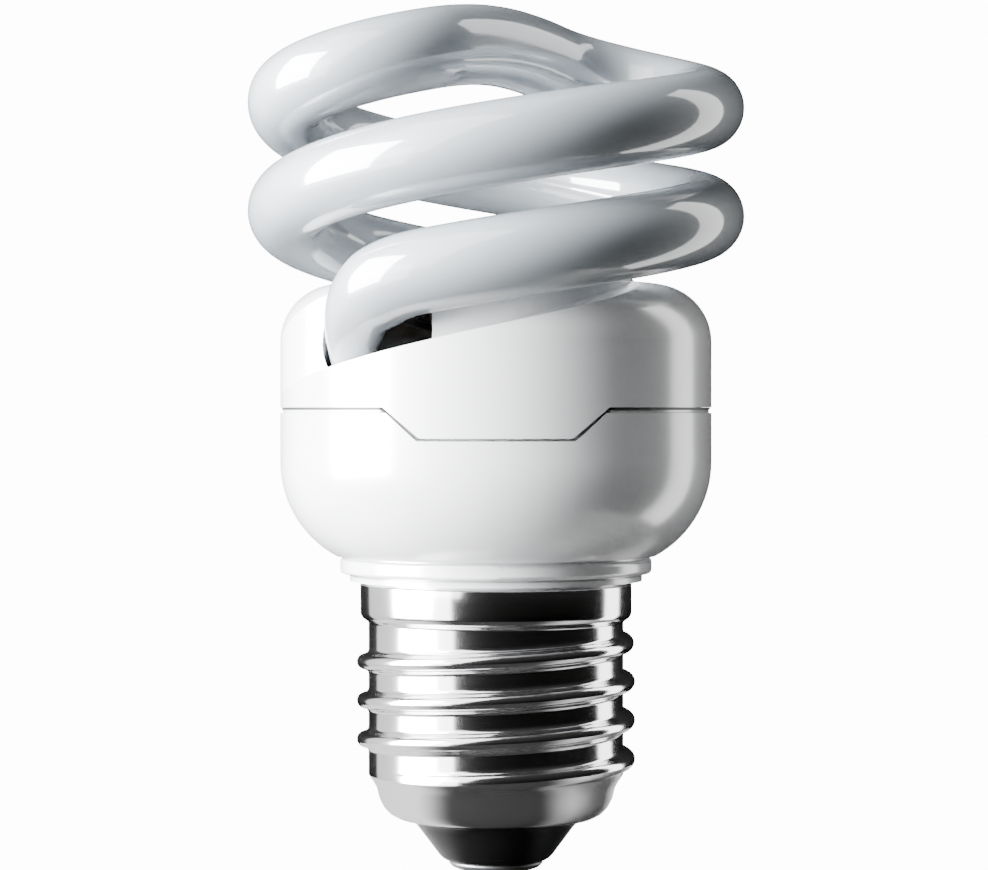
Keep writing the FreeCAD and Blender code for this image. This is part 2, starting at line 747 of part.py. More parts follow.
def make_centre_contact():
    body = turned_body("contact", [
        ("0", "0"),
        ("ContactFlatRadius", "0"),
        ("ContactRadius - ContactChamfer", "ContactDome"),
        ("ContactRadius", "ContactDome + ContactChamfer"),
        ("ContactRadius", "ContactThickness"),
        ("ContactStubRadius", "ContactThickness"),
        ("ContactStubRadius", "ContactThickness + ContactStubLength"),
        ("0", "ContactThickness + ContactStubLength"),
    ])
    return piece(body, "centre_contact")


# Plain pieces of the ballast

def rod(name, radius, length, across, depth, height):
    """An upright round bar bound to the sheet."""
    made = doc.addObject("Part::Cylinder", name)
    bind(made, "Radius", radius)
    bind(made, "Height", length)
    place(made, across, depth, height)
    return made


def block(name, width, depth, height, across, along, up):
    """A box bound to the sheet, given by its size, its middle in plan and its underside."""
    made = doc.addObject("Part::Box", name)
    bind(made, "Length", width)
    bind(made, "Width", depth)
    bind(made, "Height", height)
    place(made, f"{across} - ({width}) / 2", f"{along} - ({depth}) / 2", up)
    return made


def united(name, parts):
    made = doc.addObject("Part::MultiFuse", name)
    made.Shapes = parts
    return made


def cut_from(name, base, tool):
    made = doc.addObject("Part::Cut", name)
    made.Base = base
    made.Tool = tool
    return made


def wire_run(points, radius):
    """A round wire through the points, mitred at each bend."""
    line = Part.makePolygon(points)
    start = Part.Wire([Part.makeCircle(radius, points[0], points[1] - points[0])])
    mitred = 1
    return line.makePipeShell([start], True, False, mitred)


def make_circuit_board():
    board = rod("board_disc", "TongueRadius", "BoardThickness", "0", "0", "BoardHeight")
    return piece(board, "circuit_board")


def legs_under(name, places, standoff):
    """Wire legs that hang a part from the underside of the board."""
    return [rod(f"{name}_leg", "LeadRadius", standoff, across, depth, f"BoardHeight - ({standoff})")
            for across, depth in places]


def make_smoothing_capacitor():
    low = "BoardHeight - CanStandoff - CanLength"
    can = rod("can", "CanDiameter / 2", "CanLength", "-CanOffset", "0", low)
    places = [("-CanOffset", "CanDiameter / 4"), ("-CanOffset", "-CanDiameter / 4")]
    legs = legs_under("can", places, "CanStandoff")
    return piece(united("can_with_legs", [can] + legs), "smoothing_capacitor")


def make_choke():
    low = "BoardHeight - ChokeStandoff - ChokeHeight"
    window = "(ChokeWidth / 2 - ChokeLeg - ChokeCentreLeg / 2)"
    tall = "(ChokeHeight - 2 * ChokeYoke)"
    frame = block("ferrite", "ChokeWidth", "ChokeDepth", "ChokeHeight", "ChokeOffset", "0", low)
    windows = [block("ferrite_window", window, "2 * ChokeDepth", tall,
                     f"ChokeOffset {sign} (ChokeCentreLeg + {window}) / 2", "0", f"{low} + ChokeYoke")
               for sign in ("+", "-")]
    core = cut_from("ferrite_with_windows", frame, united("ferrite_windows", windows))
    piece(core, "choke_core")

    gap = "FitClearance"
    barrel_width = "(ChokeCentreLeg + 2 * FitClearance + 2 * BobbinWall)"
    barrel_depth = "(ChokeDepth + 2 * FitClearance + 2 * BobbinWall)"
    base = f"{low} + ChokeYoke + {gap}"
    inside = f"({tall} - 2 * {gap})"
    flange_width = f"(ChokeWidth - 2 * ChokeLeg - 2 * {gap})"
    flange_depth = "(WindingDepth + 2 * BobbinFlangeRim)"
    flanges = [block("bobbin_flange", flange_width, flange_depth, "BobbinFlange", "ChokeOffset", "0", where)
               for where in (base, f"{base} + {inside} - BobbinFlange")]
    barrel = block("bobbin_barrel", barrel_width, barrel_depth, inside, "ChokeOffset", "0", base)
    bore = block("bobbin_bore", f"ChokeCentreLeg + 2 * {gap}", f"ChokeDepth + 2 * {gap}", "ChokeHeight",
                 "ChokeOffset", "0", low)
    bobbin = cut_from("bobbin_bored", united("bobbin_blank", flanges + [barrel]), bore)
    piece(bobbin, "choke_bobbin")

    wound = f"({inside} - 2 * BobbinFlange)"
    pack = block("copper_block", f"({flange_width} - 2 * WindingInset)", "WindingDepth", wound,
                 "ChokeOffset", "0", f"{base} + BobbinFlange")
    eye = block("copper_eye", barrel_width, barrel_depth, "ChokeHeight", "ChokeOffset", "0", low)
    copper = cut_from("copper_wound", pack, eye)
    lead_length = f"(ChokeStandoff + ChokeYoke + {gap})"
    leads = [rod("copper_lead", "LeadRadius", lead_length, "ChokeOffset",
                 f"{side} * (ChokeDepth / 2 + ChokeLeadInset)", f"BoardHeight - {lead_length}")
             for side in ("1", "-1")]
    piece(united("copper_leads", leads), "choke_leads")
    piece(copper, "choke_winding")


def make_drive_ring():
    low = "BoardHeight - RingStandoff - RingHeight"
    outer = rod("ring_outer", "RingOuterRadius", "RingHeight", "RingSide", "HousingRadius - RingInset", low)
    inner = rod("ring_inner", "RingInnerRadius", "2 * RingHeight", "RingSide", "HousingRadius - RingInset",
                f"{low} - RingHeight / 2")
    core = cut_from("ring_bored", outer, inner)
    piece(core, "drive_ring_core")
    section = size("RingOuterRadius - RingInnerRadius + 2 * RingCoilThickness")
    middle = size("(RingOuterRadius + RingInnerRadius) / 2")
    tall = size("RingHeight + 2 * RingCoilThickness")
    width = size("RingCoilWidth")
    centre = Vector(size("RingSide"), size("HousingRadius - RingInset"), 0)
    base = size(low) - size("RingCoilThickness")
    body = Part.makeCylinder(size("RingOuterRadius"), size("RingHeight"), centre + UP * size(low))
    body = body.cut(Part.makeCylinder(size("RingInnerRadius"), size("RingHeight"), centre + UP * size(low)))
    for number, angle in enumerate((90, 210, 330), start=1):
        coil = Part.makeBox(section, width, tall, Vector(middle - section / 2, -width / 2, base))
        coil.rotate(Vector(0, 0, 0), UP, angle)
        coil.translate(centre)
        lead_low = base + tall
        top = size("BoardHeight")
        turn = math.radians(angle)
        lead_at = centre + Vector(math.cos(turn), math.sin(turn), 0) * middle + UP * lead_low
        lead = Part.makeCylinder(size("LeadRadius"), top - lead_low, lead_at)
        wound = coil.cut(body).fuse(lead)
        piece(shaped(f"ring_coil_{number}", wound), f"drive_ring_winding_{number}")


def make_transistors():
    low = size("BoardHeight - TransistorStandoff - TransistorHeight")
    radius = size("TransistorRadius")
    spacing = size("TransistorSpacing")
    first = Vector(size("TransistorSide"), size("HousingRadius - TransistorInset"), low)
    turn = math.radians(size("TransistorTurn"))
    slope = Vector(math.cos(turn), math.sin(turn), 0)
    for number in (1, 2):
        centre = first + slope * spacing * (number - 1)
        body = Part.makeCylinder(radius, size("TransistorHeight"), centre)
        face = Part.makeBox(4 * radius, 2 * radius, size("TransistorHeight"),
                            centre + Vector(-2 * radius, -2 * radius - size("TransistorFlat"), 0))
        body = body.cut(face)
        for step in (-1, 0, 1):
            lead_at = Vector(step * size("TransistorLeadPitch"), size("TransistorLeadSetback"),
                             size("TransistorHeight"))
            lead = Part.makeCylinder(size("LeadRadius"), size("TransistorStandoff"), centre + lead_at)
            body = body.fuse(lead)
        piece(shaped(f"transistor_body_{number}", body), f"power_transistor_{number}")


def make_film_capacitor(label, kind):
    """A dipped film capacitor in front of the choke, with rounded upright edges and two legs."""
    across = size(f"{kind}Side")
    along = -size(f"HousingRadius - {kind}Inset")
    low = size(f"BoardHeight - FilmStandoff - {kind}Height")
    made = Part.makeBox(size(f"{kind}Width"), size(f"{kind}Depth"), size(f"{kind}Height"),
                        Vector(across - size(f"{kind}Width / 2"), along - size(f"{kind}Depth / 2"), low))
    upright = [edge for edge in made.Edges if abs(edge.tangentAt(edge.FirstParameter).z) > 0.9]
    made = made.makeFillet(size(f"{kind}Depth / 4"), upright)
    for side in (-1, 1):
        leg_at = Vector(across + side * size(f"{kind}Width / 3"), along, size("BoardHeight - FilmStandoff"))
        made = made.fuse(Part.makeCylinder(size("LeadRadius"), size("FilmStandoff"), leg_at))
    return piece(shaped(label + "_dipped", made), label)


def axial_part(label, radius, length, middle, direction):
    """A round part lying over the board with its two leads bent down to it."""
    across = direction.normalize()
    half = length / 2
    reach = half + size("LeadReach")
    body = Part.makeCylinder(radius, length, middle - across * half, across)
    top = size("BoardHeight + BoardThickness")
    ends = [middle - across * reach, middle + across * reach]
    feet = [Vector(end.x, end.y, top) for end in ends]
    lead = wire_run([feet[0], ends[0], ends[1], feet[1]], size("LeadRadius"))
    return piece(shaped(label + "_body", body.fuse(lead)), label)


def make_top_side_parts():
    top = size("BoardHeight + BoardThickness + TopSideGap")
    spacing = size("PartSpacing")
    along = Vector(0, 1, 0)
    for number in range(1, 5):
        across = (number - 2.5) * spacing
        axial_part(f"rectifier_diode_{number}", size("DiodeRadius"), size("DiodeLength"),
                   Vector(across, 0, top + size("DiodeRadius")), along)
        axial_part(f"resistor_{number}", size("ResistorRadius"), size("ResistorLength"),
                   Vector(across, size("HousingRadius - ResistorInset"), top + size("ResistorRadius")), along)
    axial_part("trigger_diac", size("DiacRadius"), size("DiacLength"),
               Vector(0, -size("HousingRadius - DiacInset"), top + size("DiacRadius")), Vector(1, 0, 0))


def make_mains_leads():
    """The fusible resistor in the live lead, and the two wires to the cap."""
    foot = Vector(size("NeckBore - FuseSideInset"), size("NeckBore - FuseBackInset"),
                  size("NeckBottom + FuseRise"))
    wire = size("WireRadius")
    board = size("BoardHeight")
    body = Part.makeCylinder(size("FuseRadius"), size("FuseLength"), foot)
    top = foot + UP * size("FuseLength")
    lead = Part.makeCylinder(size("LeadRadius"), board - top.z, top)
    piece(shaped("fuse_body", body.fuse(lead)), "fusible_resistor")
    stub = UP * size("ContactThickness + ContactStubLength")
    live = wire_run([stub, stub + UP * size("LiveStraight"), foot - UP * size("LiveTail"), foot], wire)
    piece(shaped("live_run", live), "live_wire")
    side = Vector(size("NeckBore - NeutralSideInset"), -size("NeckBore - NeutralFrontInset"), 0)
    bend = size("NeckBottom - NeutralDrop")
    edge = Vector(side).normalize() * size("ThreadRootRadius - ShellWall - WireRadius - WireGap")
    neutral = wire_run([side + UP * board, side + UP * bend, edge + UP * (bend - size("NeutralFall"))], wire)
    piece(shaped("neutral_run", neutral), "neutral_wire")


def make_pins_and_tube_leads():
    """Four posts on the board, and the four filament wires that come to them from the tube."""
    top = size("BoardHeight + BoardThickness")
    width = size("PinWidth")
    height = size("PinHeight")
    slant = Vector(0, size("NeckSlant"), -1).normalize()
    foot = Vector(-size("NeckSide"), -size("NeckBack"), size("NeckHeight")) + slant * size("TubeLegLength")
    front_pin = Vector(-size("HousingRadius - FrontPinSideInset"),
                       -size("HousingRadius - FrontPinInset"), top)
    side_pin = Vector(-size("HousingRadius - SidePinInset"), -size("SidePinFront"), top)
    number = 0
    for turned in (False, True):
        for pin in (front_pin, side_pin):
            number += 1
            post = Part.makeBox(width, width, height, pin - Vector(width / 2, width / 2, 0))
            towards = Vector(pin.x - foot.x, pin.y - foot.y, 0).normalize()
            aside = towards * size("NeckedDiameter / 4")
            root = foot + aside - slant * aside.dot(slant)
            knee = root + slant * size("TubeLeadDrop")
            reach = towards * (width / 2 + size("PinWrapGap + TubeLeadRadius"))
            end = pin + UP * (height / 2) - reach
            lead = wire_run([root, knee, end], size("TubeLeadRadius"))
            if turned:
                post = half_turned(post)
                lead = half_turned(lead)
            piece(shaped(f"post_{number}", post), f"wrap_pin_{number}")
            piece(shaped(f"filament_wire_{number}", lead), f"tube_lead_{number}")


def make_tube_cement():
    """A collar of cement half round each tube end, inside the hub wall."""
    slant = Vector(0, size("NeckSlant"), -1).normalize()
    tip = Vector(-size("NeckSide"), -size("NeckBack"), size("NeckHeight"))
    low = size("CementBottom")
    tall = size("CementHeight")
    middle = tip + slant * ((tip.z - low - tall / 2) / -slant.z)
    collar = Part.makeCylinder(size("CementRadius"), tall, Vector(middle.x, middle.y, low))
    collar = collar.common(Part.makeCylinder(size("HousingRadius - CementInset"), tall, Vector(0, 0, low)))
    bore_radius = size("NeckedDiameter / 2 + PlayBetweenParts")
    bore_length = 4 * tall
    bore = Part.makeCylinder(bore_radius, bore_length, middle - slant * (bore_length / 2), slant)
    collar = collar.cut(bore)
    piece(shaped("cement_front", collar), "tube_cement_front")
    piece(shaped("cement_back", half_turned(collar)), "tube_cement_back")


def build():
    make_discharge_tube()
    make_upper_cover()
    make_lower_housing()
    make_screw_shell()
    make_cap_insulator()
    make_centre_contact()
    make_circuit_board()
    make_smoothing_capacitor()
    make_choke()
    make_drive_ring()
    make_transistors()
    make_film_capacitor("resonance_capacitor", "Resonance")
    make_film_capacitor("coupling_capacitor", "Coupling")
    make_top_side_parts()
    make_mains_leads()
    make_pins_and_tube_leads()
    make_tube_cement()
    doc.recompute()


def check_and_write():
    failed = [thing.Label for thing in doc.Objects if "Invalid" in thing.State or "Error" in thing.State]
    if failed:
        raise RuntimeError("these objects failed: " + ", ".join(failed))
    for thing in pieces:
        if thing.Shape.isNull() or not thing.Shape.isValid():
            raise RuntimeError("no valid shape in " + thing.Label)
    os.makedirs("parts", exist_ok=True)
    for thing in pieces:
        thing.Shape.exportStep(os.path.join("parts", thing.Label + ".step"))
        print(thing.Label, "solids", len(thing.Shape.Solids), "volume", round(thing.Shape.Volume, 1))


build()
check_and_write()
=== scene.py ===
"""Looks of a spiral energy saving lamp with a screw cap: coated glass coil, white housing, nickel cap."""

import json
import logging
import math
from dataclasses import dataclass, field
from enum import Enum

import bmesh
import bpy
from mathutils import Matrix, Vector


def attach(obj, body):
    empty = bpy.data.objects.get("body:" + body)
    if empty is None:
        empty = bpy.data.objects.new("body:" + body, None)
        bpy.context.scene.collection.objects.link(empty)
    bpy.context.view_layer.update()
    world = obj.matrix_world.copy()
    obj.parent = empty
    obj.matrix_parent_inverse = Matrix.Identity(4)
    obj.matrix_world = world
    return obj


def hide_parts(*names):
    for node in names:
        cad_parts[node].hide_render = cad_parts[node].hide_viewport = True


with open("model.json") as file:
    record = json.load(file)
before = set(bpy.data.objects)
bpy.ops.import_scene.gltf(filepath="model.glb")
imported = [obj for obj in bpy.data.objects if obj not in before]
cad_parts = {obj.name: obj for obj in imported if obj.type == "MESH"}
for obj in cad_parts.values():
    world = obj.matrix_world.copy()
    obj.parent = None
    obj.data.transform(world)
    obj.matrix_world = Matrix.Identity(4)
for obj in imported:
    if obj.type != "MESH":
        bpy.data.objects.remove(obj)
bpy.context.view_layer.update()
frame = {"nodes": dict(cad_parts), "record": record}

MM = 0.001
WELD = 0.001 * MM
UP = Vector((0.0, 0.0, 1.0))
Outline = list[tuple[float, float]]
log = logging.getLogger("spiral_lamp")


class Motif(Enum):
    """Kinds of fine surface detail."""

    PLAIN = "plain"
    SPECKLE = "speckle"
    BRUSHED = "brushed"
    WOUND = "wound"
    FIBRE = "fibre"


@dataclass(frozen=True)
class Finish:
    """One surface finish, turned into a procedural material.

    Colours are linear, lengths are in metres.
    """

    name: str
    slot: str
    colour: tuple[float, float, float]
    second: tuple[float, float, float]
    roughness: tuple[float, float]
    metallic: float = 0.0
    coat: float = 0.0
    coat_roughness: float = 0.03
    coat_ior: float = 1.5
    specular: float = 0.5
    grain: float = 400.0
    bump: float = 0.00002
    bump_strength: float = 0.6
    subsurface: float = 0.0
    subsurface_scale: float = 0.002
    motif: Motif = Motif.SPECKLE

    def build(self) -> bpy.types.Material:
        """Makes the material.

        Returns:
            The material, ready to assign.
        """
        material = bpy.data.materials.new(self.name)
        material.use_nodes = True
        nodes = material.node_tree.nodes
        links = material.node_tree.links
        shader = nodes["Principled BSDF"]
        shader.inputs["Metallic"].default_value = self.metallic
        shader.inputs["Coat Weight"].default_value = self.coat
        shader.inputs["Coat Roughness"].default_value = self.coat_roughness
        shader.inputs["Coat IOR"].default_value = self.coat_ior
        shader.inputs["Specular IOR Level"].default_value = self.specular
        shader.inputs["Subsurface Weight"].default_value = self.subsurface
        shader.inputs["Subsurface Scale"].default_value = self.subsurface_scale
        place = nodes.new("ShaderNodeTexCoord")
        stretch = nodes.new("ShaderNodeMapping")
        stretch.inputs["Scale"].default_value = SurfaceGrain.stretch_of(self.motif)
        links.new(place.outputs["Object"], stretch.inputs["Vector"])
        grain = nodes.new("ShaderNodeGroup")
        grain.node_tree = SurfaceGrain.tree()
        grain.inputs["Grain"].default_value = self.grain
        grain.inputs["Colour"].default_value = (*self.colour, 1.0)
        grain.inputs["Second"].default_value = (*self.second, 1.0)
        grain.inputs["Smooth"].default_value = self.roughness[0]
        grain.inputs["Rough"].default_value = self.roughness[1]
        links.new(stretch.outputs["Vector"], grain.inputs["Vector"])
        links.new(grain.outputs["Colour"], shader.inputs["Base Color"])
        links.new(grain.outputs["Roughness"], shader.inputs["Roughness"])
        relief = nodes.new("ShaderNodeBump")
        relief.inputs["Distance"].default_value = self.bump
        relief.inputs["Strength"].default_value = self.bump_strength
        links.new(grain.outputs["Height"], relief.inputs["Height"])
        links.new(relief.outputs["Normal"], shader.inputs["Normal"])
        return material


class SurfaceGrain:
    """The shared node group that varies colour, roughness and height over a surface."""

    NAME = "surface_grain"
    FINE_DETAIL = 4.0
    FINE_ROUGHNESS = 0.6
    BROAD_SCALE = 45.0
    BROAD_DETAIL = 3.0
    BROAD_SHARE = 0.5
    CALM_END = 0.3
    LIVELY_END = 0.7

    @staticmethod
    def stretch_of(motif: Motif) -> tuple[float, float, float]:
        """How far each kind of detail is drawn out along the three axes.

        Args:
            motif: The kind of detail.

        Returns:
            The scale of the pattern along X, Y and Z.
        """
        return {
            Motif.PLAIN: (0.2, 0.2, 0.2),
            Motif.SPECKLE: (1.0, 1.0, 1.0),
            Motif.BRUSHED: (0.15, 0.15, 4.0),
            Motif.WOUND: (0.05, 0.05, 6.0),
            Motif.FIBRE: (3.0, 0.4, 1.0),
        }[motif]

    @classmethod
    def tree(cls) -> bpy.types.NodeTree:
        """Makes the group once and hands it out after that.

        Returns:
            The node group.
        """
        known = bpy.data.node_groups.get(cls.NAME)
        if known:
            return known
        tree = bpy.data.node_groups.new(cls.NAME, "ShaderNodeTree")
        face = tree.interface
        for name, kind in (("Vector", "NodeSocketVector"), ("Grain", "NodeSocketFloat"),
                           ("Colour", "NodeSocketColor"), ("Second", "NodeSocketColor"),
                           ("Smooth", "NodeSocketFloat"), ("Rough", "NodeSocketFloat")):
            face.new_socket(name, in_out="INPUT", socket_type=kind)
        for name, kind in (("Colour", "NodeSocketColor"), ("Roughness", "NodeSocketFloat"),
                           ("Height", "NodeSocketFloat")):
            face.new_socket(name, in_out="OUTPUT", socket_type=kind)
        nodes = tree.nodes
        links = tree.links
        source = nodes.new("NodeGroupInput")
        result = nodes.new("NodeGroupOutput")
        fine = nodes.new("ShaderNodeTexNoise")
        fine.inputs["Detail"].default_value = cls.FINE_DETAIL
        fine.inputs["Roughness"].default_value = cls.FINE_ROUGHNESS
        links.new(source.outputs["Vector"], fine.inputs["Vector"])
        links.new(source.outputs["Grain"], fine.inputs["Scale"])
        broad = nodes.new("ShaderNodeTexNoise")
        broad.inputs["Scale"].default_value = cls.BROAD_SCALE
        broad.inputs["Detail"].default_value = cls.BROAD_DETAIL
        links.new(source.outputs["Vector"], broad.inputs["Vector"])
        blend = nodes.new("ShaderNodeMix")
        blend.data_type = "FLOAT"
        blend.inputs[0].default_value = cls.BROAD_SHARE
        links.new(fine.outputs["Fac"], blend.inputs[2])
        links.new(broad.outputs["Fac"], blend.inputs[3])
        tint = nodes.new("ShaderNodeMix")
        tint.data_type = "RGBA"
        links.new(blend.outputs[0], tint.inputs[0])
        links.new(source.outputs["Colour"], tint.inputs[6])
        links.new(source.outputs["Second"], tint.inputs[7])
        spread = nodes.new("ShaderNodeMapRange")
        links.new(broad.outputs["Fac"], spread.inputs["Value"])
        spread.inputs["From Min"].default_value = cls.CALM_END
        spread.inputs["From Max"].default_value = cls.LIVELY_END
        links.new(source.outputs["Smooth"], spread.inputs["To Min"])
        links.new(source.outputs["Rough"], spread.inputs["To Max"])
        links.new(tint.outputs[2], result.inputs["Colour"])
        links.new(spread.outputs["Result"], result.inputs["Roughness"])
        links.new(fine.outputs["Fac"], result.inputs["Height"])
        return tree


FINISHES: tuple[Finish, ...] = (
    Finish("coated_tube_glass", "coated_glass", (0.255, 0.28, 0.305), (0.24, 0.265, 0.29), (0.42, 0.5),
           coat=1.0, coat_roughness=0.075, coat_ior=1.85, grain=900.0, bump=0.0, motif=Motif.PLAIN),
    Finish("satin_white_plastic", "white_plastic", (0.70, 0.715, 0.73), (0.67, 0.685, 0.70), (0.28, 0.34),
           coat=1.0, coat_roughness=0.18, coat_ior=2.0, grain=2600.0, bump=0.000004),
    Finish("bright_nickel", "nickel_plate", (0.90, 0.90, 0.90), (0.84, 0.84, 0.85), (0.11, 0.15),
           metallic=1.0, grain=700.0, bump=0.000002, motif=Motif.BRUSHED),
    Finish("vitrified_black", "black_insulator", (0.003, 0.003, 0.003), (0.006, 0.006, 0.006), (0.14, 0.22),
           specular=0.18, grain=500.0, bump=0.00001),
    Finish("dull_tin", "contact_metal", (0.36, 0.36, 0.37), (0.2, 0.2, 0.21), (0.3, 0.5), metallic=1.0,
           grain=1200.0),
    Finish("phenolic_board", "board_laminate", (0.36, 0.2, 0.08), (0.26, 0.13, 0.05), (0.45, 0.6),
           grain=900.0, motif=Motif.FIBRE),
    Finish("shrink_sleeve", "can_sleeve", (0.012, 0.014, 0.03), (0.02, 0.022, 0.04), (0.2, 0.3), coat=0.3),
    Finish("sintered_ferrite", "ferrite", (0.03, 0.03, 0.033), (0.055, 0.055, 0.06), (0.45, 0.65),
           grain=1800.0),
    Finish("nylon", "nylon_bobbin", (0.7, 0.66, 0.54), (0.64, 0.6, 0.48), (0.4, 0.5), subsurface=0.05),
    Finish("enamelled_wire", "enamelled_copper", (0.42, 0.12, 0.04), (0.6, 0.22, 0.07), (0.18, 0.3),
           metallic=0.8, grain=500.0, bump=0.0001, motif=Motif.WOUND),
    Finish("moulded_epoxy", "black_epoxy", (0.012, 0.012, 0.012), (0.02, 0.02, 0.02), (0.4, 0.55),
           grain=2000.0),
    Finish("dipped_epoxy", "film_coating", (0.32, 0.03, 0.012), (0.4, 0.05, 0.02), (0.12, 0.2), coat=0.6),
    Finish("resistor_lacquer", "resistor_lacquer", (0.5, 0.33, 0.14), (0.44, 0.28, 0.11), (0.25, 0.35),
           coat=0.4),
    Finish("wire_insulation", "wire_sleeve", (0.6, 0.6, 0.57), (0.55, 0.55, 0.52), (0.4, 0.5)),
    Finish("tinned_wire", "tinned_wire", (0.6, 0.6, 0.61), (0.45, 0.45, 0.46), (0.2, 0.35), metallic=1.0,
           motif=Motif.BRUSHED),
    Finish("cured_cement", "silicone_cement", (0.7, 0.7, 0.66), (0.6, 0.6, 0.56), (0.6, 0.75), grain=700.0,
           bump=0.0001),
)


class Palette:
    """All finishes, found by the record's material slots."""

    def __init__(self) -> None:
        """Builds every material once."""
        self.by_slot: dict[str, bpy.types.Material] = {item.slot: item.build() for item in FINISHES}

    def dress(self, thing: bpy.types.Object, slot: str) -> None:
        """Gives an object one finish.

        Args:
            thing: The object to dress.
            slot: The record's material slot.
        """
        thing.data.materials.clear()
        thing.data.materials.append(self.by_slot[slot])

    def dress_nodes(self) -> None:
        """Gives each CAD node the finish of its slot in the record."""
        slots = {row["node"]: row["material_slot"] for row in frame["record"]["subparts"]}
        for name, thing in frame["nodes"].items():
            self.dress(thing, slots[name])
            log.info("node %s wears %s", name, slots[name])


def finished(mesh: bmesh.types.BMesh, name: str) -> bpy.types.Object:
    """Turns an edited mesh into an object that rides on the lamp.

    Args:
        mesh: The edited mesh, which is freed.
        name: The piece's name.

    Returns:
        The new object, smooth shaded.
    """
    data = bpy.data.meshes.new(name)
    mesh.to_mesh(data)
    mesh.free()
    for face in data.polygons:
        face.use_smooth = True
    thing = bpy.data.objects.new(name, data)
    bpy.context.scene.collection.objects.link(thing)
    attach(thing, "root")
    log.info("made %s with %d faces", name, len(data.polygons))
    return thing


def eased(share: float) -> float:
    """Gives a share a smooth start and end.

    Args:
        share: The share, from 0 to 1.

    Returns:
        The eased share, from 0 to 1.
    """
    return share * share * (3 - 2 * share)


def turned(outline: Outline, steps: int) -> bmesh.types.BMesh:
    """Spins an outline of (radius, height) points about the lamp's axis.

    Args:
        outline: The points in millimetres, from the outside bottom round to the inside.
        steps: How many steps make the whole turn.

    Returns:
        The closed mesh.
    """
    mesh = bmesh.new()
    points = [mesh.verts.new((radius * MM, 0.0, height * MM)) for radius, height in outline]
    edges = [mesh.edges.new(pair) for pair in zip(points, points[1:] + points[:1])]
    bmesh.ops.spin(mesh, geom=points + edges, cent=(0, 0, 0), axis=(0, 0, 1), angle=2 * math.pi,
                   steps=steps, use_merge=True, use_duplicate=False)
    bmesh.ops.remove_doubles(mesh, verts=mesh.verts, dist=WELD)
    bmesh.ops.recalc_face_normals(mesh, faces=mesh.faces)
    return mesh


